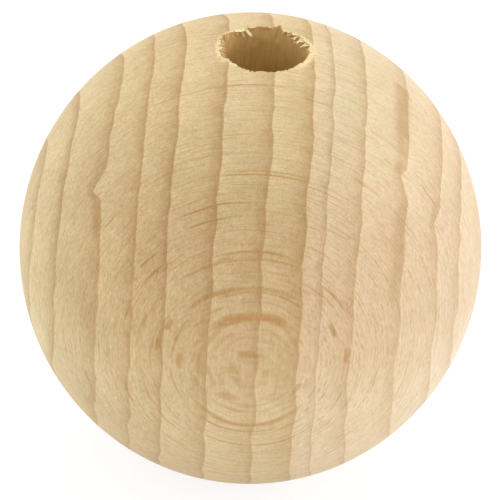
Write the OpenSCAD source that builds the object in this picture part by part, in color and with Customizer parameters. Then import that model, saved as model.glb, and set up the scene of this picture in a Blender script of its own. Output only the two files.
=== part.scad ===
// Turned wooden bead, bored right through along the grain.
//
// The outside is two ball halves with a short straight waist between them. The drill went in at the
// lower mouth, whose rim is clean, and came out at the upper one, where it tore splinters away.
// The bead stands on its lower mouth: the origin is at its middle, +Z runs up the bore, and the
// growth rings stand side by side along X.

/* [Turned form] */
// Width of the bead across its middle
ball_d = 30; // [12:0.5:60]
// Height of the straight waist, which makes the bead this much longer than a true ball
waist_h = 0.9; // [0:0.1:6]

/* [Bore] */
// Width of the bore
bore_d = 5.5; // [2:0.1:10]

/* [Torn upper mouth] */
// Number of splinters torn out of the rim
splinter_count = 30; // [0:1:48]
// Width of the widest bed that a splinter left
splinter_w = 1.2; // [0.2:0.05:1.6]
// Longest way that a bed runs out from the bore
splinter_reach = 0.45; // [0.1:0.05:1]
// Deepest start of a bed in the bore, below the rim
splinter_depth = 1.2; // [0.3:0.1:3]
// Each number tears another rim
splinter_seed = 11; // [1:1:99]

/* [Hidden] */
$fn = 180;

wood = [0.90, 0.79, 0.60];

ball_r = ball_d / 2;
bore_r = bore_d / 2;
pole_z = ball_r + waist_h / 2;

// Height of both rims, where the ball's surface meets the bore
rim_z = waist_h / 2 + sqrt(ball_r ^ 2 - bore_r ^ 2);

// Cutters run this far past what they cut
overcut = 1;

// Smallest splinter, as a share of the largest
least_share = 0.2;
// The rim tears less at its front and back than on its two sides, by this share
calm_share = 0.4;
// At the rim, the beds' cutters reach this far in from the bore's wall
cutter_inset = 0.3;

// Half of the turned outline above the waist, from the axis to the widest place
module quarter_disc() {
    intersection() {
        circle(ball_r);
        square(ball_r);
    }
}

// The bead before it is bored
module turned_form() {
    rotate_extrude() {
        translate([0, waist_h / 2]) quarter_disc();
        if (waist_h > 0) translate([0, -waist_h / 2]) square([ball_r, waist_h]);
        translate([0, -waist_h / 2]) mirror([0, 1]) quarter_disc();
    }
}

module bore() {
    cylinder(h = 2 * (pole_z + overcut), r = bore_r, center = true);
}

// The bed of one splinter at the +X side of the upper rim: a pointed groove, which starts in the
// bore's wall at its depth and runs up and outwards, to its full width and reach at the rim
module splinter_bed(width, reach, depth) {
    lean = atan(reach / depth);
    // how far the bore's wall curves away within half the width
    sag = bore_r - sqrt(bore_r ^ 2 - width ^ 2 / 4);
    shoulder = -reach - sag;
    kite = [[0, 0], [shoulder, width / 2], [shoulder - cutter_inset, 0], [shoulder, -width / 2]];
    translate([bore_r, 0, rim_z - depth])
        rotate([0, lean, 0])
            translate([0, 0, -overcut])
                linear_extrude(depth / cos(lean) + 2 * overcut) polygon(kite);
}

function share(draw) = least_share + (1 - least_share) * draw;

// All the beds, each with its own place, size, breadth and depth
module torn_rim() {
    draws = rands(0, 1, 4 * splinter_count, splinter_seed);
    for (i = [0 : splinter_count - 1]) {
        turn = (i + draws[4 * i]) * 360 / splinter_count;
        size = share(draws[4 * i + 1] ^ 2) * (1 - calm_share * abs(sin(turn)));
        breadth = share(draws[4 * i + 2]);
        depth = share(draws[4 * i + 3]);
        rotate(turn)
            splinter_bed(splinter_w * size * breadth, splinter_reach * size, splinter_depth * depth);
    }
}

module bead() {
    color(wood)
        difference() {
            turned_form();
            bore();
            if (splinter_count > 0) torn_rim();
        }
}

bead();
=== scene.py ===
"""Turned wooden bead: a ball of pale raw wood with a torn mouth, on a plain stage."""
import math
import random

import bmesh
import bpy
from bpy.props import FloatProperty, FloatVectorProperty, IntProperty, PointerProperty
from bpy.types import Operator, Panel, PropertyGroup
from mathutils import Matrix, Vector, noise


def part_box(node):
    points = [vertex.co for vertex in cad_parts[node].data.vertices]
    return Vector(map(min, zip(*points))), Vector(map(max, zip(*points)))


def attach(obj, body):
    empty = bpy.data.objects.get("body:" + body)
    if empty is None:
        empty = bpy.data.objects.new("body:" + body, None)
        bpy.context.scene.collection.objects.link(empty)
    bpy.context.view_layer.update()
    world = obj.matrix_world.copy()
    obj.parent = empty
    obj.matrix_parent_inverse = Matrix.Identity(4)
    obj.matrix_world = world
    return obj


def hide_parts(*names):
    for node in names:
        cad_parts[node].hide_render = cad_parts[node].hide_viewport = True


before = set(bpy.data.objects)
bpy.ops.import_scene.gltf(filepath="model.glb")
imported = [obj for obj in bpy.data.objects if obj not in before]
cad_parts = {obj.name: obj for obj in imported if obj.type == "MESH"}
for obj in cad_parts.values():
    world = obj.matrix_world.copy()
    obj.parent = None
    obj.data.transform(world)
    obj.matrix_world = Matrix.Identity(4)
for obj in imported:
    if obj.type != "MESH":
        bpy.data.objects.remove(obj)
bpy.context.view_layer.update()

bl_info = {
    "name": "Turned Wooden Bead",
    "version": (1, 0, 0),
    "blender": (4, 5, 0),
    "location": "3D View > Sidebar > Bead",
    "description": "Makes a turned wooden bead with its bore, its torn mouth and its wood",
    "category": "Object",
}

MM = 0.001
LOW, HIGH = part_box("bead")
# Keeps the spun form inside its box, whatever the rounding
SNUG = 0.99999
# Points closer than this, in metres, are joined
WELD = 1e-7


def srgb(red, green, blue):
    """A colour written in the usual 0 to 255 steps, as Blender's linear values."""
    steps = [value / 255 for value in (red, green, blue)]
    return tuple(s / 12.92 if s <= 0.04045 else ((s + 0.055) / 1.055) ** 2.4 for s in steps)


def length_property(name, description, default, low, high):
    return FloatProperty(name=name, description=description, default=default, min=low, max=high,
                         subtype="DISTANCE", unit="LENGTH", precision=5)


def angle_property(name, description, degrees):
    return FloatProperty(name=name, description=description, default=math.radians(degrees),
                         subtype="ANGLE", unit="ROTATION")


def colour_property(name, description, red, green, blue):
    return FloatVectorProperty(name=name, description=description, subtype="COLOR", size=3,
                               min=0.0, max=1.0, default=srgb(red, green, blue))


def tint_property(name, description, red, green, blue):
    """What a colour's red, green and blue are multiplied by."""
    return FloatVectorProperty(name=name, description=description, size=3, min=0.0, max=2.0,
                               default=(red, green, blue))


class BeadSizes(PropertyGroup):
    width: length_property("Width", "Width of the bead across its middle", HIGH.x - LOW.x, 0.012, 0.06)
    height: length_property("Height", "Height from rim to rim", HIGH.z - LOW.z, 0.012, 0.066)
    bore: length_property("Bore", "Width of the bore", 0.0055, 0.002, 0.01)
    seed: IntProperty(name="Tear", description="Each number tears another rim", default=7, min=1, max=99)


class WoodLook(PropertyGroup):
    early: colour_property("Early wood", "Colour just after a ring starts", 213, 183, 135)
    late: colour_property("Late wood", "Colour just before a ring ends", 188, 152, 102)
    line: colour_property("Ring line", "Colour of the last wood of a ring", 172, 128, 70)
    # Younger and outer wood: partly paler wood, partly painted sheen on the side lit by lamp_right
    young_and_sheen: tint_property("Young wood", "Tint of the wood far from the pith", 1.11, 1.14, 1.33)
    outer: tint_property("Outer wood", "Further tint, furthest from the pith", 1.03, 1.08, 1.17)
    young_end: tint_property("Young upper end", "Further tint of its upper end", 0.93, 0.95, 0.95)
    # Wood nearer the pith: painted shade, and at the innermost rings a painted highlight on the far left
    # side
    inner: tint_property("Inner wood", "Tint of the wood nearer the pith", 0.96, 0.985, 0.985)
    inmost_highlight: tint_property("Innermost wood", "Further tint, nearest the pith", 1.13, 1.20, 1.23)
    # Upper end: partly paler end grain, partly painted light, brighter and cooler, on the top
    upper: tint_property("Upper end", "Tint of the upper end, cut across the fibres", 1.07, 1.145, 1.18)
    # Lower end: painted light, as if thrown up from the floor, on the lower part of the bead
    lower: tint_property("Lower end", "Tint of the lower end, cut across the fibres", 1.08, 1.16, 1.26)
    ray: colour_property("Rays", "Colour of the rays that cross the rings", 186, 139, 74)
    drilled: colour_property("Drilled wall", "Colour of the wall that the drill rubbed", 222, 187, 116)
    torn: colour_property("Torn wall", "Colour of the wall just under the torn rim", 236, 198, 138)
    fibre: colour_property("Torn fibre", "Colour of the fibres that stand loose", 252, 230, 176)
    lean: angle_property("Lean", "Turn of the grain about X", 3.2)
    cant: angle_property("Cant", "Turn of the grain about Y", 0.9)
    turn: angle_property("Turn", "Turn of the rings about Z", -3.5)
    pith: length_property("Pith", "Distance from the bead's middle to the tree's pith", 0.12, 0.02, 1.0)


class StageLook(PropertyGroup):
    floor: colour_property("Floor", "Colour of the floor", 250, 250, 250)
    size: length_property("Floor size", "Width of the floor", 4.0, 0.3, 10.0)
    room: FloatProperty(name="Room light", description="Strength of the light from all round",
                        default=0.768, min=0.0, max=2.0)
    lamp: FloatProperty(name="Lamps", description="Strength of all the lamps", default=1.0,
                        min=0.0, max=5.0)


# --- shader nodes -------------------------------------------------------------------------------

# A Mix node has sockets for every kind of data. These are its share, its two colours and its result
MIX_SHARE, MIX_FIRST, MIX_SECOND, MIX_RESULT = 0, 6, 7, 2


class Graph:
    """Adds nodes to a tree and joins them up."""

    def __init__(self, tree):
        self.tree = tree

    def put(self, socket, value):
        if isinstance(value, bpy.types.NodeSocket):
            self.tree.links.new(value, socket)
        else:
            socket.default_value = value

    def fill(self, sockets, values):
        for name, value in values.items():
            self.put(sockets[name], value)

    def node(self, kind, settings=None, **values):
        """A node with its settings, and with values or links put in its sockets by name."""
        made = self.tree.nodes.new(kind)
        for name, value in (settings or {}).items():
            setattr(made, name, value)
        self.fill(made.inputs, {name.replace("_", " "): value for name, value in values.items()})
        return made

    def group(self, tree, **values):
        return self.node("ShaderNodeGroup", {"node_tree": tree}, **values).outputs

    def operate(self, kind, operation, values):
        made = self.node(kind, {"operation": operation})
        for socket, value in zip(made.inputs, values):
            self.put(socket, value)
        return made.outputs

    def math(self, operation, *values):
        return self.operate("ShaderNodeMath", operation, values)[0]

    def plus(self, a, b):
        return self.math("ADD", a, b)

    def minus(self, a, b):
        return self.math("SUBTRACT", a, b)

    def times(self, a, b):
        return self.math("MULTIPLY", a, b)

    def over(self, a, b):
        return self.math("DIVIDE", a, b)

    def vector_math(self, operation, *values):
        outputs = self.operate("ShaderNodeVectorMath", operation, values)
        return outputs["Value" if operation == "LENGTH" else "Vector"]

    def combine(self, x, y, z):
        return self.node("ShaderNodeCombineXYZ", X=x, Y=y, Z=z).outputs[0]

    def separate(self, vector):
        return self.node("ShaderNodeSeparateXYZ", Vector=vector).outputs

    def scaled(self, vector, x, y, z):
        """The vector in cells of the given size."""
        return self.vector_math("MULTIPLY", vector, (1 / x, 1 / y, 1 / z))

    def noise(self, vector, detail=2.0, roughness=0.5):
        return self.node("ShaderNodeTexNoise", Vector=vector, Scale=1.0, Detail=detail,
                         Roughness=roughness).outputs[0]

    def random(self, number):
        """A value between 0 and 1 for each whole number."""
        return self.node("ShaderNodeTexWhiteNoise", {"noise_dimensions": "1D"}, W=number).outputs[0]

    def remap(self, value, low, high, to_low=0.0, to_high=1.0, kind="LINEAR"):
        """Goes from to_low at low to to_high at high, and stays there beyond them."""
        made = self.node("ShaderNodeMapRange", {"interpolation_type": kind})
        for socket, v in zip(made.inputs, (value, low, high, to_low, to_high)):
            self.put(socket, v)
        return made.outputs[0]

    def smooth(self, value, low, high, to_low=0.0, to_high=1.0):
        return self.remap(value, low, high, to_low, to_high, "SMOOTHSTEP")

    def mix(self, share, a, b):
        made = self.node("ShaderNodeMix", {"data_type": "RGBA"})
        for place, value in ((MIX_SHARE, share), (MIX_FIRST, a), (MIX_SECOND, b)):
            self.put(made.inputs[place], value)
        return made.outputs[MIX_RESULT]

    def curve(self, value, points):
        """A Float Curve of straight stretches through the points."""
        made = self.node("ShaderNodeFloatCurve", Value=value)
        curve = made.mapping.curves[0]
        while len(curve.points) < len(points):
            curve.points.new(0.5, 0.5)
        for point, place in zip(curve.points, points):
            point.location, point.handle_type = place, "VECTOR"
        made.mapping.update()
        return made.outputs[0]


def group_tree(name, inputs, outputs):
    """A new shader node group with its sockets: its Graph, what it is given and where its results go."""
    tree = bpy.data.node_groups.new(name, "ShaderNodeTree")
    for way, sockets in (("INPUT", inputs), ("OUTPUT", outputs)):
        for socket_name, kind in sockets.items():
            tree.interface.new_socket(socket_name, in_out=way, socket_type="NodeSocket" + kind)
    given = tree.nodes.new("NodeGroupInput").outputs
    results = tree.nodes.new("NodeGroupOutput").inputs
    return Graph(tree), given, results


def rgba(colour, share=1.0):
    """A colour for a socket, darkened to a share of itself."""
    return (*(part * share for part in colour), 1.0)


# The curves of the rings run from minus this to this, in mm
SPAN = 16.0
# Most of a noise's values lie between the first two of these, and its middle ones between the others
USUAL, MIDDLE = (0.3, 0.7), (0.35, 0.65)

# The ring that starts at each of these places. A ring place is the distance from the pith in mm, less
# the distance from the pith to the bead's middle
RING_STARTS = (-14.30, -12.30, -9.40, -7.12, -5.01, -2.12, 0.94, 3.43, 4.62, 6.67, 9.49, 11.77, 13.10)
# Widths in mm of the rings before the first of them and after the last
FIRST_RING, LAST_RING = 2.4, 2.2
# How dark a ring's wood is, from its start at 0 to its end at 1
LATENESS = ((0.0, 0.12), (0.05, 0.0), (0.35, 0.18), (0.55, 0.32), (0.70, 0.48), (0.80, 0.74),
            (0.90, 0.90), (0.97, 1.0), (1.0, 1.0))
# Where a ring's darkest line is, and how far the line and the ring's paler start reach, as shares
LINE_PLACE, LINE_REACH = 0.96, 0.09
# Size of the patches in which a ring is earlier or later, in mm, and their least and most share
PATCH_CELLS, PATCH_SHARES = (0.8, 0.8, 1.1), (0.75, 1.25)

# The rings' slow wandering and quick ripple: size of the noise in mm. The first has its whole way in
# mm, and the second its ways at two heights up the fibres
WANDER_CELLS, WANDER_WAY = (9.0, 9.0, 2.6), 0.55
RIPPLE_CELLS, RIPPLE_HEIGHTS, RIPPLE_WAYS = (2.2, 2.2, 0.9), (0.0, 7.0), (0.08, 0.34)
# Height up the fibres, and how far all the rings of the middle wander out there, in mm
WANDER = ((-15.0, -0.20), (-10.0, -0.16), (-7.0, 0.0), (-4.0, 0.08), (0.0, 0.07), (5.0, -0.02),
          (7.5, -0.07), (9.8, -0.18), (12.2, -0.04), (13.5, -0.22), (15.0, -0.12))
# How much of that the rings further out and the innermost ones take part in: from and to, out from
# the pith in mm, and the shares there
OUTER_PART, INNER_PART = (3.0, 6.0, 1.0, 0.2), (-9.0, -6.0, 0.0, 1.0)
# Behind the front third, the rings nearest the pith swerve outwards: where that starts and is whole
# along the rings and out from the pith, and its whole way, in mm
SWERVE_ALONG, SWERVE_OUT, SWERVE_WAY = (-6.5, 0.5), (0.0, -11.0), 0.9
# Healed dents in the front's rings: ring place and height up the fibres, half width, how far each runs
# down and up the fibres, and its depth, in mm
DENTS = ((-9.9, 8.10, 1.1, 0.12, 2.2, 0.90), (-9.9, 8.05, 1.1, 2.8, 0.10, 0.36),
         (9.2, 9.98, 0.9, 1.5, 0.12, 0.45), (11.6, 6.80, 0.9, 2.4, 0.55, 0.45))
# How quickly a dent fades along the fibres
DENT_POWER = 1.8
# Brown scars in the dents, and fainter stains near them: ring place and height up the fibres, half
# sizes in mm, and how plain they show
SCARS = (
    (-10.25, 7.90, 0.50, 0.32, 0.80), (-9.85, 6.95, 0.36, 1.60, 0.75), (8.85, 10.35, 0.50, 0.60, 0.45),
    (9.05, 12.60, 0.80, 3.20, 0.55), (9.15, 6.50, 0.60, 3.60, 0.40), (11.25, 7.10, 0.35, 0.90, 0.35),
)
# The share of a scar's size within which it is whole
SCAR_CORE = 0.2


def ring_shift(graph, grain, place, front):
    """How far the rings have moved out at a point, in mm."""
    x, y, z = graph.separate(grain)
    slow = graph.noise(graph.scaled(grain, *WANDER_CELLS), detail=1.0)
    quick = graph.noise(graph.scaled(grain, *RIPPLE_CELLS), roughness=0.6)
    ripple_way = graph.remap(z, *RIPPLE_HEIGHTS, *RIPPLE_WAYS)
    shift = graph.plus(graph.times(graph.minus(slow, 0.5), WANDER_WAY),
                       graph.times(graph.minus(quick, 0.5), ripple_way))
    swerve = graph.times(graph.smooth(y, *SWERVE_ALONG), graph.remap(x, *SWERVE_OUT, 0.0, SWERVE_WAY))
    shift = graph.plus(shift, swerve)
    wander = graph.curve(graph.remap(z, -SPAN, SPAN),
                         [(0.5 + up / SPAN / 2, 0.5 + out) for up, out in WANDER])
    middle = graph.times(graph.remap(x, *OUTER_PART), graph.remap(x, *INNER_PART))
    shift = graph.plus(shift, graph.times(graph.minus(wander, 0.5), middle))
    for out, up, wide, fall, rise, depth in DENTS:
        across = graph.over(graph.minus(place, out), wide)
        bell = graph.math("EXPONENT", graph.times(graph.times(across, across), -1.0))
        above = graph.minus(z, up)
        along = graph.math("MAXIMUM", graph.over(above, rise), graph.over(above, -fall))
        deep = graph.math("POWER", graph.remap(along, 0.0, 1.0, 1.0, 0.0), DENT_POWER)
        dent = graph.times(graph.times(bell, front), graph.times(deep, depth))
        shift = graph.minus(shift, dent)
    return shift


def scar_marks(graph, grain, place, front):
    """How plain the brown scars are at a point."""
    spot = graph.combine(place, graph.separate(grain)["Z"], 0.0)
    scars = 0.0
    for out, up, wide, tall, plain in SCARS:
        off = graph.vector_math("SUBTRACT", spot, (out, up, 0.0))
        off = graph.vector_math("LENGTH", graph.vector_math("DIVIDE", off, (wide, tall, 1.0)))
        scars = graph.math("MAXIMUM", scars, graph.smooth(off, 1.0, SCAR_CORE, 0.0, plain))
    return graph.times(scars, front)


def grain_group(look):
    """Wood coordinates in mm: X runs out from the pith, Y along the rings and Z up the fibres."""
    graph, given, results = group_tree("Grain directions", {"Position": "Vector"},
                                       {"Grain": "Vector", "Ring place": "Float", "Scars": "Float"})
    grain = graph.node("ShaderNodeMapping", {"vector_type": "POINT"}, Vector=given["Position"],
                       Rotation=(look.lean, look.cant, look.turn), Scale=(1 / MM,) * 3).outputs[0]
    x, y = graph.separate(grain)[:2]
    from_pith = graph.plus(x, look.pith / MM)
    radius = graph.math("SQRT", graph.plus(graph.times(from_pith, from_pith), graph.times(y, y)))
    place = graph.minus(radius, look.pith / MM)
    # the dents and the scars are in the front half only
    front = graph.math("LESS_THAN", y, 0.0)
    graph.fill(results, {"Grain": grain, "Scars": scar_marks(graph, grain, place, front),
                         "Ring place": graph.minus(place, ring_shift(graph, grain, place, front))})
    return graph.tree


def rings_group():
    """From a ring place: lateness in the ring, the line that ends it, its pale start and its tone."""
    names = ("Lateness", "Line", "Start", "Ring tone")
    graph, given, results = group_tree("Growth rings", {"Ring place": "Float", "Grain": "Vector"},
                                       dict.fromkeys(names, "Float"))
    count = len(RING_STARTS)
    most = count + 2.0
    first = 1.0 - (RING_STARTS[0] + SPAN) / FIRST_RING
    last = count + (SPAN - RING_STARTS[-1]) / LAST_RING
    starts = [((start + SPAN) / (2 * SPAN), i / most) for i, start in enumerate(RING_STARTS, 1)]
    across = graph.remap(given["Ring place"], -SPAN, SPAN)
    number = graph.times(graph.curve(across, [(0.0, first / most), *starts, (1.0, last / most)]), most)
    part = graph.math("FRACT", number)
    patches = graph.noise(graph.scaled(given["Grain"], *PATCH_CELLS), roughness=0.6)
    lateness = graph.times(graph.curve(part, LATENESS), graph.remap(patches, *USUAL, *PATCH_SHARES))
    to_line = graph.math("ABSOLUTE", graph.minus(part, LINE_PLACE))
    graph.fill(results, {"Lateness": lateness, "Line": graph.smooth(to_line, 0.0, LINE_REACH, 1.0, 0.0),
                         "Start": graph.smooth(part, 0.0, LINE_REACH, 1.0, 0.0),
                         "Ring tone": graph.random(graph.math("FLOOR", number))})
    return graph.tree


# The biggest rays: place along the rings, out from the pith and up the fibres, half sizes that way
# round in mm, and how plain they show
GREAT_RAYS = (
    (14.94, -0.55, 1.15, 0.09, 0.75, 0.35, 0.65), (14.93, -0.6, -0.05, 0.07, 2.2, 0.3, 0.3),
    (14.80, -1.6, -2.1, 0.07, 0.9, 0.45, 0.6), (14.80, 0.8, -2.0, 0.07, 0.6, 0.35, 0.3),
    (14.57, -0.4, 3.1, 0.10, 2.9, 1.0, 1.0), (14.05, -1.1, 4.4, 0.08, 4.2, 1.4, 0.85),
    (13.35, -1.5, 6.1, 0.06, 4.3, 1.3, 0.65), (13.16, 0.0, 7.2, 0.05, 3.0, 0.7, 0.7),
    (14.34, -0.4, -3.7, 0.08, 4.0, 1.3, 0.65), (13.92, 4.7, 2.5, 0.08, 0.6, 0.6, 0.8),
    (13.43, 4.6, 4.5, 0.06, 1.0, 1.2, 0.7), (14.32, -4.7, 0.1, 0.08, 0.5, 0.7, 0.7),
    (13.75, 5.6, 0.6, 0.08, 0.5, 0.7, 0.7), (10.24, 0.0, 11.2, 0.055, 3.4, 0.6, 0.85),
    (10.08, 0.3, 11.3, 0.055, 2.9, 0.5, 0.7), (11.43, -2.7, 9.3, 0.055, 3.4, 1.0, 0.9),
    (11.98, -3.1, 8.7, 0.055, 2.5, 0.7, 0.8), (4.76, -1.3, 14.5, 0.06, 3.6, 0.6, 0.9),
    (12.15, -6.9, 6.0, 0.06, 1.1, 0.8, 0.8), (12.63, -6.6, 5.1, 0.06, 1.1, 1.0, 0.9),
    (13.90, -5.5, 2.4, 0.08, 0.5, 0.5, 0.8), (13.79, -6.1, 0.9, 0.08, 0.5, 0.6, 0.9),
    (12.59, -8.0, 2.5, 0.07, 0.5, 0.5, 0.9), (13.23, -7.0, 2.3, 0.07, 0.5, 0.5, 0.7),
    (12.50, -7.7, -3.5, 0.06, 0.6, 1.1, 0.8), (10.33, -10.3, -4.2, 0.06, 0.6, 1.0, 0.8),
    (6.62, 10.6, 8.3, 0.05, 0.75, 1.1, 1.0), (6.55, -10.5, 8.9, 0.045, 0.9, 0.9, 1.0),
    (9.66, -9.3, 7.2, 0.045, 0.9, 0.7, 0.9), (4.42, -12.3, 7.7, 0.045, 0.5, 0.6, 1.0),
    (5.60, -10.3, 9.8, 0.045, 0.9, 0.7, 1.0),
)
# The share of a big ray's size within which it is whole
GREAT_CORE = 0.15
# Each layer of common rays: spacing, half thickness, usual lengths out and up in mm, and the share
# of the noise above which a ray is there
RAY_LAYERS = ((0.52, 0.045, 6.0, 1.4, 0.50), (0.23, 0.034, 3.5, 0.8, 0.48),
              (0.12, 0.028, 2.0, 0.5, 0.45))
# How far a ray keeps from the ends of its own spacing, as a share, how soon it is whole in the noise,
# and the share of its thickness that is
RAY_MARGIN, RAY_FADE, RAY_CORE = 0.2, 0.14, 0.3
# These keep the noise of the layers, and of the rays within a layer, apart
LAYER_STEP, RAY_STEP = 31.0, 7.31
# The rays bend by this much in all, in mm, over noise of this size, and they fan out from the pith
BEND, BEND_CELLS, FAN = 0.14, (3.0, 3.0, 2.2), 0.023
# How plain the second layer is beside the first
SECOND_LAYER = 0.7
# Size of the threads between the rays, in mm
THREAD_CELLS = (1.4, 0.075, 0.35)


def ray_sheets(graph, along, out, up, layer, seed):
    """Thin sheets across the rings, each broken into patches of its own."""
    spacing, half, reach, height, cover = layer
    step = graph.over(along, spacing)
    index = graph.plus(graph.math("FLOOR", step), seed)
    centre = graph.remap(graph.random(index), 0.0, 1.0, RAY_MARGIN, 1.0 - RAY_MARGIN)
    far = graph.times(graph.math("ABSOLUTE", graph.minus(graph.math("FRACT", step), centre)), spacing)
    patches = graph.noise(graph.combine(graph.over(out, reach), graph.over(up, height),
                                        graph.times(index, RAY_STEP)), detail=1.0)
    return graph.times(graph.smooth(patches, cover, cover + RAY_FADE),
                       graph.smooth(far, half, half * RAY_CORE))


def rays_group():
    """Rays: ribbons that run out across the rings, tall up the fibres and very thin along the rings."""
    graph, given, results = group_tree(
        "Rays", {"Grain": "Vector"}, dict.fromkeys(("Great", "Broad", "Fine", "Threads"), "Float"))
    x, y, z = graph.separate(given["Grain"])
    bend = graph.noise(graph.scaled(given["Grain"], *BEND_CELLS), detail=1.0)
    along = graph.minus(graph.minus(graph.times(bend, BEND), y), graph.times(x, FAN))
    sheets = [ray_sheets(graph, along, x, z, layer, LAYER_STEP * i)
              for i, layer in enumerate(RAY_LAYERS)]
    spot = graph.combine(x, along, z)
    great = 0.0
    for place, out, up, half, long, tall, show in GREAT_RAYS:
        gap = graph.vector_math("SUBTRACT", spot, (out, place + BEND / 2, up))
        gap = graph.vector_math("DIVIDE", gap, (long, half, tall))
        # the squares of the three gaps make the ray's edge square rather than round
        square = graph.vector_math("MULTIPLY", gap, gap)
        ray = graph.smooth(graph.vector_math("LENGTH", square), 1.0, GREAT_CORE, 0.0, show)
        great = graph.math("MAXIMUM", great, ray)
    graph.fill(results, {
        "Great": great, "Broad": graph.math("MAXIMUM", sheets[0], graph.times(sheets[1], SECOND_LAYER)),
        "Fine": sheets[2], "Threads": graph.noise(graph.scaled(spot, *THREAD_CELLS), roughness=0.6)})
    return graph.tree


# Small spots along the fibres: size of a spot's cell in mm, and how far its cells are moved. A spot
# reaches this share of its cell, and its core that share of the reach
SPOTS = {"Pores": ((0.11, 0.11, 0.55), 0.0), "Flecks": ((0.15, 0.15, 0.6), 40.0)}
SPOT_REACH, SPOT_CORE = 0.45, 0.4
# Noises along the fibres: size in mm, how far the cells are moved, detail and roughness
FIGURES = {"Tissue": ((0.085, 0.085, 0.40), 0.0, 2.0, 0.6),
           "Streaks": ((0.28, 0.28, 4.0), 0.0, 3.0, 0.65),
           "Mottle": ((3.0, 3.0, 4.0), 0.0, 2.0, 0.5),
           "Blush": ((1.1, 1.1, 1.6), 20.0, 2.0, 0.5)}


def pores_group():
    """What lies along the fibres: open pores, pale flecks between them, fine tissue, streaks, mottle."""
    graph, given, results = group_tree("Pores and streaks", {"Grain": "Vector"},
                                       dict.fromkeys((*SPOTS, *FIGURES), "Float"))
    for name, (cell, away) in SPOTS.items():
        cells = graph.vector_math("ADD", graph.scaled(given["Grain"], *cell), (away, away, away))
        found = graph.node("ShaderNodeTexVoronoi", {"feature": "F1"}, Vector=cells, Scale=1.0,
                           Randomness=1.0).outputs
        there = graph.smooth(found["Distance"], SPOT_REACH, SPOT_REACH * SPOT_CORE)
        graph.put(results[name], graph.times(there, graph.separate(found["Color"])[0]))
    for name, (cell, away, detail, roughness) in FIGURES.items():
        cells = graph.vector_math("ADD", graph.scaled(given["Grain"], *cell), (away, 0.0, 0.0))
        graph.put(results[name], graph.noise(cells, detail, roughness))
    return graph.tree


def shared_groups(look):
    """The node groups that the wood materials share, each built once."""
    makers = {"grain": ("Grain directions", lambda: grain_group(look)),
              "rings": ("Growth rings", rings_group),
              "rays": ("Rays", rays_group),
              "pores": ("Pores and streaks", pores_group)}
    return {name: bpy.data.node_groups.get(label) or make() for name, (label, make) in makers.items()}


def new_material(name):
    material = bpy.data.materials.new(name)
    material.use_nodes = True
    return material, Graph(material.node_tree), material.node_tree.nodes["Principled BSDF"]


def wood_grain(graph, groups):
    """The place in the bead, and what the groups for the grain and for the pores say about it."""
    position = graph.node("ShaderNodeTexCoord").outputs["Object"]
    grain = graph.group(groups["grain"], Position=position)
    return position, grain, graph.group(groups["pores"], Grain=grain["Grain"])


# Strength and depth of each wood's fine relief, and its roughness
TURNED_RELIEF, DRILLED_RELIEF, TORN_RELIEF = (0.3, 0.03 * MM), (0.35, 0.2 * MM), (0.6, 0.1 * MM)
TURNED_ROUGH, DRILLED_ROUGH, TORN_ROUGH = (0.62, 0.5), 0.8, 0.85


def set_surface(graph, shader, colour, roughness, height, relief):
    """Gives a shader its colour, its roughness and its fine relief."""
    strength, depth = relief
    bump = graph.node("ShaderNodeBump", Strength=strength, Distance=depth, Height=height).outputs[0]
    graph.fill(shader.inputs, {"Base Color": colour, "Roughness": roughness, "Normal": bump})


# The fuzz round the torn rim: how far it reaches at the bead's two sides in mm, its share of that at
# the front and back, the size of its tufts in mm and how strong it is
FUZZ_REACH, FUZZ_FRONT, FUZZ_CELLS, FUZZ_SHARE = 0.7, 0.28, (0.16, 0.16, 0.3), 0.6
# The share of its reach over which it grows, and the sums of that and of the tufts between which it
# goes from none to all
FUZZ_GROWTH, FUZZ_SUMS = 0.8, (0.80, 1.30)


def rim_fuzz(graph, position, sizes):
    """Where short loose fibres make the wood pale: near the torn rim, most of all at its two sides."""
    spot = graph.vector_math("DIVIDE", position, (MM, MM, MM))
    x, y, z = graph.separate(spot)
    bore = sizes.bore / 2 / MM
    out = graph.math("SQRT", graph.plus(graph.times(x, x), graph.times(y, y)))
    side = graph.remap(graph.math("ABSOLUTE", x), bore * 0.5, bore, FUZZ_FRONT, 1.0)
    limit = graph.plus(graph.times(side, FUZZ_REACH), bore)
    near = graph.remap(graph.minus(limit, out), 0.0, FUZZ_REACH * FUZZ_GROWTH)
    tufts = graph.noise(graph.scaled(spot, *FUZZ_CELLS))
    fuzz = graph.smooth(graph.plus(near, tufts), *FUZZ_SUMS, 0.0, FUZZ_SHARE)
    return graph.times(fuzz, graph.math("GREATER_THAN", z, 0.0))


# Each tint, what it follows, and where it starts and is whole. Ring places and heights up the fibres
# are in mm. Painted light lies in these tints: sheen on the lit right side in the tints of the younger
# and outer wood, shade and, at the innermost rings, a highlight in the tints nearer the pith, light
# on the top in the upper one, and light from the floor in the lower one
TINTS = (("young_and_sheen", "place", 3.0, 4.2), ("outer", "place", 7.0, 14.0), ("inner", "place", -7.0, -10.0),
         ("inmost_highlight", "place", -12.1, -13.1), ("upper", "height", 7.0, 13.5),
         ("lower", "height", 2.0, -5.0), ("young_end", "both", 0.0, 1.0))
# The ring places and heights over which the last one grows
BOTH_PLACES, BOTH_HEIGHTS = (3.0, 4.4), (10.0, 13.0)
# How plain the rings and the fine figure are, by ring place and by height up the fibres: from and to
# in mm, and the shares there. Both are plainest in the older wood and at the upper end
PLAIN_RINGS = ((2.5, 5.0, 1.0, 0.82), (1.5, 8.0, 0.66, 1.0))
PLAIN_FIGURE = ((-10.0, 8.0, 1.25, 0.80), (-3.0, 6.0, 0.78, 1.0))
# The same for the lines between rings, by ring place alone
LINE_PART = (0.0, 8.0, 0.30, 0.14)
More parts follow.
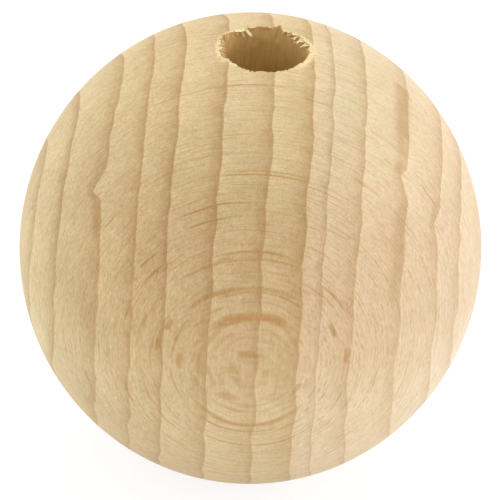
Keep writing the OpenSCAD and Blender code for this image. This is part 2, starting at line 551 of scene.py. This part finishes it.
# How far each noise moves the tone either way, and how far each spot moves it
SPREADS = {"Tissue": 0.09, "Threads": 0.08, "Streaks": 0.07, "Mottle": 0.05, "Ring tone": 0.025}
DARK_PORES, PALE_FLECKS, PALE_START = 0.15, 0.12, 0.02
# How strongly the scars and each kind of ray take on their colour
SCAR_SHARE, RAY_SHARES = 0.75, {"Fine": 0.26, "Broad": 0.48, "Great": 0.90}
# A deeper tone is also a warmer one: red follows it less and blue more, by these powers
RED_POWER, BLUE_POWER = 0.8, 1.3
# How far the blush moves red and blue either way
BLUSH_RED, BLUSH_BLUE = 0.018, 0.03


def plainness(graph, place, height, parts):
    return graph.times(graph.remap(place, *parts[0]), graph.remap(height, *parts[1]))


def tinted(graph, colour, place, height, look):
    """The younger wood is paler, partly by painted sheen on the lit right side, and so is the upper end,
    cut across the fibres, partly by painted light on the top, though less where both meet. The lower
    part is paler by painted light from the floor. Nearer the pith is painted shade, and at the innermost
    rings a painted highlight.
    """
    both = graph.math("MINIMUM", graph.remap(place, *BOTH_PLACES), graph.remap(height, *BOTH_HEIGHTS))
    follows = {"place": place, "height": height, "both": both}
    for name, source, start, whole in TINTS:
        tint = graph.vector_math("MULTIPLY", colour, getattr(look, name))
        colour = graph.mix(graph.smooth(follows[source], start, whole), colour, tint)
    return colour


def toned(graph, colour, place, height, values):
    """The colour with its fine figure."""
    tone = 0.0
    for name, spread in SPREADS.items():
        tone = graph.plus(tone, graph.remap(values[name], *USUAL, -spread, spread))
    tone = graph.minus(tone, graph.times(values["Pores"], DARK_PORES))
    tone = graph.plus(tone, graph.times(values["Flecks"], PALE_FLECKS))
    tone = graph.math("MULTIPLY_ADD", tone, plainness(graph, place, height, PLAIN_FIGURE), 1.0)
    tone = graph.plus(tone, graph.times(values["Start"], PALE_START))
    red, blue = (graph.math("POWER", tone, power) for power in (RED_POWER, BLUE_POWER))
    colour = graph.vector_math("MULTIPLY", colour, graph.combine(red, tone, blue))
    blush = graph.remap(values["Blush"], *MIDDLE, -1.0, 1.0)
    red, blue = (graph.math("MULTIPLY_ADD", blush, way, 1.0) for way in (BLUSH_RED, BLUSH_BLUE))
    return graph.vector_math("MULTIPLY", colour, graph.combine(red, 1.0, blue))


def turned_wood(sizes, look, groups):
    """The outside: bare turned and sanded wood."""
    material, graph, shader = new_material("turned_wood")
    position, grain, pores = wood_grain(graph, groups)
    place, height = grain["Ring place"], graph.separate(grain["Grain"])["Z"]
    rings = graph.group(groups["rings"], Ring_place=place, Grain=grain["Grain"])
    rays = graph.group(groups["rays"], Grain=grain["Grain"])
    plain = plainness(graph, place, height, PLAIN_RINGS)
    colour = graph.mix(graph.times(rings["Lateness"], plain), rgba(look.early), rgba(look.late))
    colour = tinted(graph, colour, place, height, look)
    line_share = graph.times(graph.remap(place, *LINE_PART), plain)
    stains = [(graph.times(rings["Line"], line_share), look.line),
              (graph.times(grain["Scars"], SCAR_SHARE), look.line)]
    stains += [(graph.times(rays[name], share), look.ray) for name, share in RAY_SHARES.items()]
    stains.append((rim_fuzz(graph, position, sizes), look.fibre))
    for share, stain in stains:
        colour = graph.mix(share, colour, rgba(stain))
    values = {socket.name: socket for outputs in (rings, rays, pores) for socket in outputs}
    colour = toned(graph, colour, place, height, values)
    set_surface(graph, shader, colour, graph.remap(pores["Tissue"], *USUAL, *TURNED_ROUGH),
                graph.minus(pores["Tissue"], pores["Pores"]), TURNED_RELIEF)
    return material


# Open fibres of the drilled wall: size of the noise in mm, how dark its darkest parts are, and the
# tissue's share of the relief
STRIP_CELLS, STRIP_SHADE, TISSUE_RELIEF = (0.30, 0.30, 1.6), 0.78, 0.4
# The wall is torn down to these depths under the rim, in mm, at the front and back and at the sides
TORN_DEPTHS, TORN_SHARE = (1.2, 4.5), 0.85
# It is torn less between the streaks: from and to in their noise, and the shares there
TORN_STREAKS = (0.30, 0.60, 0.25, 1.0)
# Painted shade down the bore starts and is whole at these depths in mm, and this is how dark and brown
# it makes the wall
BORE_SHADE_DEPTHS, BORE_SHADE_SHARE = (2.5, 9.0), 0.8


def drilled_wood(sizes, look, groups):
    """The bore's wall: wood rubbed by the drill, with open fibres along it, and painted shade that
    darkens it deeper down.
    """
    material, graph, shader = new_material("drilled_wood")
    position, grain, pores = wood_grain(graph, groups)
    strips = graph.noise(graph.scaled(grain["Grain"], *STRIP_CELLS), detail=4.0, roughness=0.75)
    colour = graph.mix(graph.remap(strips, *MIDDLE), rgba(look.drilled, STRIP_SHADE), rgba(look.drilled))
    # the torn start of the wall is paler than the rubbed wall under it, and deepest at its two sides
    place = graph.separate(graph.vector_math("DIVIDE", position, (MM, MM, MM)))
    bore, depth = sizes.bore / 2 / MM, graph.minus(HIGH.z / MM, place["Z"])
    deep = graph.remap(graph.math("ABSOLUTE", place["X"]), bore * 0.25, bore, *TORN_DEPTHS)
    torn = graph.times(graph.remap(graph.over(depth, deep), 1.0, 0.0, 0.0, TORN_SHARE),
                       graph.remap(pores["Streaks"], *TORN_STREAKS))
    colour = graph.mix(torn, colour, rgba(look.torn))
    # painted shade: deeper down the bore the wall takes on the ring line's colour
    colour = graph.mix(graph.remap(depth, *BORE_SHADE_DEPTHS, 0.0, BORE_SHADE_SHARE), colour, rgba(look.line))
    set_surface(graph, shader, colour, DRILLED_ROUGH,
                graph.plus(strips, graph.times(pores["Tissue"], TISSUE_RELIEF)), DRILLED_RELIEF)
    return material


# The darkest streaks of the loose fibres, as a share of their colour
FIBRE_SHADE = 0.85


def torn_wood(look, groups):
    """The loose fibres: pale, dull and streaked."""
    material, graph, shader = new_material("torn_wood")
    tissue = wood_grain(graph, groups)[2]["Tissue"]
    colour = graph.mix(graph.remap(tissue, *USUAL), rgba(look.fibre), rgba(look.fibre, FIBRE_SHADE))
    set_surface(graph, shader, colour, TORN_ROUGH, tissue, TORN_RELIEF)
    return material


# --- meshes -------------------------------------------------------------------------------------


def add_object(name, data):
    made = bpy.data.objects.new(name, data)
    bpy.context.scene.collection.objects.link(made)
    return made


def add_mesh(builder, name, materials):
    """Turns a bmesh into an object."""
    mesh = bpy.data.meshes.new(name)
    builder.to_mesh(mesh)
    builder.free()
    for material in materials:
        mesh.materials.append(material)
    return add_object(name, mesh)


def add_piece(builder, name, materials):
    """Turns a bmesh into a piece of the wood, which rides on the bead's body."""
    piece = add_mesh(builder, name, materials)
    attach(piece, "root")
    return piece


# Steps of the outline: near the torn rim, on the rest of the outside, and round the axis
RIM_STEPS, SIDE_STEPS, ROUND_STEPS = 28, 116, 360
# Cuts of the bore's wall, and of the highest part that they leave
WALL_CUTS, TOP_CUTS = 15, 34
# The closer points lie within this distance of the rim, and the tears within this share of it
TORN_FIELD, TORN_PART = 1.5 * MM, 0.9
# A point this near the bore's wall is on it, and a hair is no distance at all
ON_WALL, HAIR = 0.01 * MM, 0.001 * MM


def stretch(sizes):
    """How many times the bead's outside is taller than a ball of its width."""
    return sizes.height / math.sqrt(sizes.width ** 2 - sizes.bore ** 2)


def form_height(radius, sizes):
    """Height of the turned outside at a distance from the axis."""
    return stretch(sizes) * math.sqrt(max(0.0, (sizes.width / 2) ** 2 - radius ** 2))


def half_section(builder, sizes):
    """The outline of the bead's half section, with closer points where the rim will be torn."""
    rim = math.asin(sizes.bore / sizes.width)
    near = 2 * TORN_FIELD / sizes.width
    point = builder.verts.new((sizes.bore / 2, 0, math.cos(rim) * sizes.width / 2))
    for angle, steps in ((near, RIM_STEPS), (math.pi - 2 * rim - near, SIDE_STEPS)):
        made = bmesh.ops.spin(builder, geom=[point], cent=(0, 0, 0), axis=(0, 1, 0),
                              angle=angle, steps=steps)
        point = next(item for item in made["geom_last"] if isinstance(item, bmesh.types.BMVert))
    bmesh.ops.remove_doubles(builder, verts=builder.verts, dist=WELD)
    bmesh.ops.scale(builder, verts=builder.verts, vec=(SNUG, 1, stretch(sizes) * SNUG))
    ends = sorted((v for v in builder.verts if len(v.link_edges) < 2), key=lambda v: v.co.z)
    wall = bmesh.ops.subdivide_edges(builder, edges=[builder.edges.new(ends)], cuts=WALL_CUTS)
    inner = [v for v in wall["geom_inner"] if isinstance(v, bmesh.types.BMVert)]
    highest = max(inner, key=lambda v: v.co.z)
    top_edge = max(highest.link_edges, key=lambda e: e.verts[0].co.z + e.verts[1].co.z)
    bmesh.ops.subdivide_edges(builder, edges=[top_edge], cuts=TOP_CUTS)


class BEAD_OT_turned_form(Operator):
    """Makes the turned bead with its bore and its torn upper rim"""

    bl_idname = "bead.turned_form"
    bl_label = "Turned Form"

    def execute(self, context):
        sizes, look = context.scene.bead_sizes, context.scene.bead_wood
        groups = shared_groups(look)
        builder = bmesh.new()
        half_section(builder, sizes)
        bmesh.ops.spin(builder, geom=builder.verts[:] + builder.edges[:], cent=(0, 0, 0), axis=(0, 0, 1),
                       angle=math.tau, steps=ROUND_STEPS, use_merge=True)
        bmesh.ops.remove_doubles(builder, verts=builder.verts, dist=WELD)
        bmesh.ops.recalc_face_normals(builder, faces=builder.faces)
        wall_limit = sizes.bore / 2 + HAIR
        for face in builder.faces:
            face.smooth = True
            face.material_index = int(all(v.co.xy.length < wall_limit for v in face.verts))
        tear_rim(builder, sizes)
        woods = [turned_wood(sizes, look, groups), drilled_wood(sizes, look, groups)]
        piece = add_piece(builder, "bead_wood", woods)
        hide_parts("bead")
        return {"FINISHED"}


# Broad tears of the upper rim: angle and half width in degrees, reach out from the bore (inwards
# where it is less than nothing) and depth below the rim in mm
TEARS = (
    (157, 14, 0.26, 1.3), (201, 13, 0.20, 0.9), (250, 16, 0.12, 0.9), (128, 10, -0.34, 0.35),
    (111, 8, -0.16, 0.3), (91, 10, -0.14, 0.3), (75, 3.5, 0.50, 1.1), (62, 7, -0.26, 0.4),
    (50, 6, -0.20, 0.35), (16, 7, 0.10, 1.0), (322, 16, -0.10, 0.5),
)
# Small teeth between the fibres: how many, half widths in radians, most reach and depths in mm
TEETH, TOOTH_WIDTHS, TOOTH_REACH, TOOTH_DEPTHS = 110, (0.02, 0.05), 0.30, (0.3, 1.4)
# How much smaller they are at the front and back than at the two sides
CALM = 0.5
# The bore's wall stays as drilled from this depth on, in mm
TEAR_LIMIT = 1.6
# The torn wall's roughness: how often it changes round the bore and down it, and its way in mm
ROUGH_TURNS, ROUGH_RATE, ROUGH_WAY = 9, 1.5, 0.05


def rim_reach(angle, depth, teeth):
    """How far the rim has moved out from the bore at an angle, at a depth below the rim."""
    reach = 0.0
    for place, half, most, deep in TEARS:
        gap = abs((math.degrees(angle) - place + 180) % 360 - 180) / half
        if gap < 1 and depth < deep * MM:
            reach += most * MM * (1 - gap ** 3) * (1 - depth / (deep * MM))
    bite = 0.0
    for place, half, most, deep in teeth:
        gap = abs((angle - place + math.pi) % math.tau - math.pi) / half
        if gap < 1 and depth < deep:
            bite = max(bite, most * (1 - gap) * (1 - depth / deep))
    return reach + bite


def small_teeth(dice):
    """Angle, half width, reach and depth of each small tooth."""
    teeth = []
    for i in range(TEETH):
        angle = (i + dice.random()) * math.tau / TEETH
        calm = 1 - CALM * abs(math.sin(angle))
        teeth.append((angle, dice.uniform(*TOOTH_WIDTHS), dice.random() ** 2 * TOOTH_REACH * MM * calm,
                      dice.uniform(*TOOTH_DEPTHS) * MM))
    return teeth


def tear_rim(builder, sizes):
    """Tears the upper rim: broad tears, small teeth between the fibres, and a rough torn wall."""
    bore, top, field = sizes.bore / 2, sizes.height / 2, TORN_FIELD * TORN_PART
    teeth = small_teeth(random.Random(sizes.seed))
    for vert in builder.verts:
        radius = vert.co.xy.length
        out, depth = radius - bore, max(0.0, top - vert.co.z)
        if vert.co.z < 0 or out > field or (out < ON_WALL and depth > TEAR_LIMIT * MM):
            continue
        angle = math.atan2(vert.co.y, vert.co.x) % math.tau
        on_wall = out < ON_WALL and depth > HAIR
        reach = rim_reach(angle, depth if on_wall else 0.0, teeth)
        rough = noise.noise(Vector((angle * ROUGH_TURNS, depth / MM * ROUGH_RATE, 3.0))) * ROUGH_WAY * MM
        # the ground outside the bore closes up, so that faces stay even
        fade = 1.0 if on_wall else max(0.0, 1 - out / field)
        target = radius + (reach + rough) * fade
        vert.co.x *= target / radius
        vert.co.y *= target / radius
        if not on_wall:
            vert.co.z = min(top, form_height(target, sizes))


# Large loose fibres: angle in degrees, width and length in mm, and how far they lean into the bore
# and to the side as shares of their length
STRANDS = (
    (120, 0.50, 0.95, 0.80, -0.16), (125, 0.40, 0.70, 0.60, 0.00), (132, 0.30, 0.45, 0.50, 0.20),
    (66, 0.26, 0.40, 0.70, 0.10), (60, 0.34, 0.45, 0.85, -0.30), (53, 0.26, 0.40, 0.80, 0.35),
    (47, 0.30, 0.55, 0.92, -0.35), (43, 0.22, 0.60, 0.85, 0.40), (38, 0.26, 0.65, 0.95, -0.45),
    (34, 0.18, 0.75, 0.90, 0.15), (29, 0.26, 0.50, 0.95, 0.50), (25, 0.20, 0.65, 0.90, -0.40),
    (19, 0.24, 0.40, 0.85, 0.25), (12, 0.18, 0.30, 0.70, -0.30), (4, 0.16, 0.30, 0.60, 0.20),
    (166, 0.12, 0.35, 0.60, 0.10), (174, 0.10, 0.45, 0.75, -0.20), (181, 0.14, 0.40, 0.80, 0.15),
    (188, 0.10, 0.50, 0.72, -0.10), (196, 0.13, 0.40, 0.70, 0.20), (204, 0.12, 0.32, 0.60, -0.10),
)
# Small loose fibres: how many, then the least and most of each one's width, length, lean and side.
# The first ones stand all round the rim, and the second ones in a row along its front
ROUND_FIBRES, ROUND_RANGES = 60, ((0.05, 0.12), (0.15, 0.4), (0.1, 0.5), (-0.4, 0.4))
FRONT_FIBRES, FRONT_RANGES = 34, ((0.06, 0.14), (0.14, 0.24), (0.6, 0.95), (-0.3, 0.3))
# Where that row starts, its steps, and how far a fibre may be from its step, in degrees
FRONT_START, FRONT_STEP, FRONT_STRAY = 212, 4.2, 2
# A loose fibre's sides and cuts, and the radii of its root and its tip as shares of its width
FIBRE_SIDES, FIBRE_CUTS, ROOT_SHARE, TIP_SHARE = 7, 5, 0.5, 0.16
# How flat it is, how much and how often its thickness swells, and how late it bends
FLATNESS, SWELL, SWELL_RATE, BEND_POWER = 0.55, 0.35, 3, 1.5
# The least and most of its curl downwards, and how far it sags in any case
CURLS, SAG = (0.6, 1.2), 0.12
# It starts this far out in the wood and down from the top, and rises at most this far over the wood
ROOT_OUT, ROOT_DOWN, FIBRE_RISE = 0.10 * MM, 0.06 * MM, 0.05 * MM


def add_strand(builder, sizes, degrees, width, length, lean, side, dice):
    """One loose fibre: a flat tapered spindle that starts in the rim and bends into the bore."""
    width, length = width * MM, length * MM
    for vert in builder.verts:
        vert.tag = True
    made = bmesh.ops.create_cone(builder, cap_ends=True, segments=FIBRE_SIDES, depth=length,
                                 radius1=width * ROOT_SHARE, radius2=width * TIP_SHARE)
    edges = {e for v in made["verts"] for e in v.link_edges
             if abs(e.verts[0].co.z - e.verts[1].co.z) > length / 2}
    bmesh.ops.subdivide_edges(builder, edges=list(edges), cuts=FIBRE_CUTS, use_grid_fill=True)
    angle = math.radians(degrees)
    outward = Vector((math.cos(angle), math.sin(angle), 0))
    along = Vector((-math.sin(angle), math.cos(angle), 0))
    bore, top = sizes.bore / 2, sizes.height / 2
    curl = dice.uniform(*CURLS)
    for vert in (v for v in builder.verts if not v.tag):
        share = min(1.0, max(0.0, vert.co.z / length + 0.5))
        swell = 1 + SWELL * noise.noise(Vector((degrees, share * SWELL_RATE, 0.0)))
        across, thick = vert.co.x * swell, vert.co.y * FLATNESS * swell
        bend = share ** BEND_POWER
        inward = length * lean * bend
        drop = length * (SAG * share + curl * (1 - lean) * bend)
        place = outward * (bore + ROOT_OUT - inward + thick) + along * (across + side * length * bend)
        vert.co = place + Vector((0, 0, top - ROOT_DOWN - drop))
        vert.co.z = min(vert.co.z, top - 2 * HAIR, form_height(vert.co.xy.length, sizes) + FIBRE_RISE)


class BEAD_OT_torn_fibres(Operator):
    """Makes the loose fibres that the drill tore out of the upper rim"""

    bl_idname = "bead.torn_fibres"
    bl_label = "Torn Fibres"

    def execute(self, context):
        sizes, look = context.scene.bead_sizes, context.scene.bead_wood
        dice = random.Random(sizes.seed + 1)
        builder = bmesh.new()
        for strand in STRANDS:
            add_strand(builder, sizes, *strand, dice)
        for _ in range(ROUND_FIBRES):
            degrees = dice.uniform(0, 360)
            add_strand(builder, sizes, degrees, *(dice.uniform(*ends) for ends in ROUND_RANGES), dice)
        for i in range(FRONT_FIBRES):
            degrees = FRONT_START + FRONT_STEP * i + dice.uniform(-FRONT_STRAY, FRONT_STRAY)
            add_strand(builder, sizes, degrees, *(dice.uniform(*ends) for ends in FRONT_RANGES), dice)
        bmesh.ops.recalc_face_normals(builder, faces=builder.faces)
        for face in builder.faces:
            face.smooth = True
        add_piece(builder, "torn_fibres", [torn_wood(look, shared_groups(look))])
        return {"FINISHED"}


# --- stage --------------------------------------------------------------------------------------

# name, place, width and strength of each lamp, which all face the bead
LAMPS = (
    ("lamp_right", (0.438, 0.05, 0.080), 0.30, 0.77),
    ("lamp_left", (-0.424, 0.14, 0.04), 0.30, 0.52),
    ("lamp_back", (0.0, 0.258, 0.369), 0.30, 0.74),
    ("lamp_front", (0.0, -0.45, 0.02), 0.30, 0.22),
)
# What the camera sees of the floor: how bright it glows, and its colour's share under that
FLOOR_GLOW, FLOOR_SHARE = 0.86, 0.3
# The camera's distance from the bead's middle, its lens and its sensor's width in mm, how far it
# stands above the bead and is tipped in degrees, and its shift
CAMERA_DISTANCE, CAMERA_LENS, CAMERA_SENSOR = 0.3, 332.2, 36.0
CAMERA_ABOVE, CAMERA_TIP, CAMERA_SHIFT = 33.6, 4.3, (-0.0008, -0.0032)


class BEAD_OT_stage(Operator):
    """Makes the floor, the lamps, the room's light and the camera"""

    bl_idname = "bead.stage"
    bl_label = "Stage"

    def execute(self, context):
        scene = context.scene
        stage = scene.bead_stage
        add_floor(stage)
        add_room(scene, stage)
        for lamp in LAMPS:
            add_lamp(*lamp, strength=stage.lamp)
        add_camera(scene)
        scene.view_settings.view_transform = "Standard"
        return {"FINISHED"}


def add_floor(stage):
    builder = bmesh.new()
    bmesh.ops.create_grid(builder, x_segments=1, y_segments=1, size=stage.size / 2)
    bmesh.ops.translate(builder, verts=builder.verts, vec=(0, 0, LOW.z))
    material, graph, shader = new_material("floor")
    # seen by the camera the floor is lifted to white, and keeps the bead's shadow
    path = graph.node("ShaderNodeLightPath").outputs
    seen = graph.math("MAXIMUM", graph.math("MAXIMUM", path["Is Camera Ray"], path["Is Glossy Ray"]),
                      path["Is Transmission Ray"])
    graph.fill(shader.inputs, {
        "Base Color": graph.mix(seen, rgba(stage.floor), rgba(stage.floor, FLOOR_SHARE)),
        "Roughness": 1.0, "Specular IOR Level": 0.0, "Emission Color": rgba(stage.floor),
        "Emission Strength": graph.times(seen, FLOOR_GLOW)})
    floor = add_mesh(builder, "floor", [material])


def add_room(scene, stage):
    world = bpy.data.worlds.new("room")
    world.use_nodes = True
    scene.world = world
    graph = Graph(world.node_tree)
    path = graph.node("ShaderNodeLightPath").outputs
    strength = graph.remap(path["Is Camera Ray"], 0.0, 1.0, stage.room, 1.0)
    background = world.node_tree.nodes["Background"]
    graph.fill(background.inputs, {"Color": (1.0, 1.0, 1.0, 1.0), "Strength": strength})


def add_lamp(name, place, width, power, strength):
    light = bpy.data.lights.new(name, "AREA")
    light.shape, light.size = "DISK", width
    light.energy = power * strength
    place = Vector(place)
    facing = (-place).to_track_quat("-Z", "Y").to_matrix().to_4x4()
    add_object(name, light).matrix_world = Matrix.Translation(place) @ facing


def add_camera(scene):
    """The camera stands in front of the bead, above it, and is tipped a little."""
    data = bpy.data.cameras.new("camera")
    data.sensor_width, data.lens = CAMERA_SENSOR, CAMERA_LENS
    data.shift_x, data.shift_y = CAMERA_SHIFT
    data.clip_start = 0.01
    scene.camera = add_object("camera", data)
    turn = Matrix.Rotation(math.pi / 2 - math.radians(CAMERA_ABOVE), 4, "X")
    turn = turn @ Matrix.Rotation(math.radians(CAMERA_TIP), 4, "Z")
    scene.camera.matrix_world = turn @ Matrix.Translation((0, 0, CAMERA_DISTANCE))


class BEAD_PT_panel(Panel):
    """Sizes, colours and steps of the bead"""

    bl_idname = "BEAD_PT_panel"
    bl_label = "Turned Bead"
    bl_space_type = "VIEW_3D"
    bl_region_type = "UI"
    bl_category = "Bead"

    def draw(self, context):
        layout = self.layout
        for group in (context.scene.bead_sizes, context.scene.bead_wood, context.scene.bead_stage):
            box = layout.box()
            for name in group.__annotations__:
                box.prop(group, name)
        for operator in (BEAD_OT_turned_form, BEAD_OT_torn_fibres, BEAD_OT_stage):
            layout.operator(operator.bl_idname)


CLASSES = (BeadSizes, WoodLook, StageLook, BEAD_OT_turned_form, BEAD_OT_torn_fibres,
           BEAD_OT_stage, BEAD_PT_panel)


def register():
    for each in CLASSES:
        bpy.utils.register_class(each)
    bpy.types.Scene.bead_sizes = PointerProperty(type=BeadSizes)
    bpy.types.Scene.bead_wood = PointerProperty(type=WoodLook)
    bpy.types.Scene.bead_stage = PointerProperty(type=StageLook)


def unregister():
    for name in ("bead_sizes", "bead_wood", "bead_stage"):
        delattr(bpy.types.Scene, name)
    for each in reversed(CLASSES):
        bpy.utils.unregister_class(each)


def plain(box):
    return [[float(value) for value in corner] for corner in box]


def main():
    register()
    bpy.ops.bead.turned_form()
    bpy.ops.bead.torn_fibres()
    bpy.ops.bead.stage()


if __name__ == "__main__":
    main()
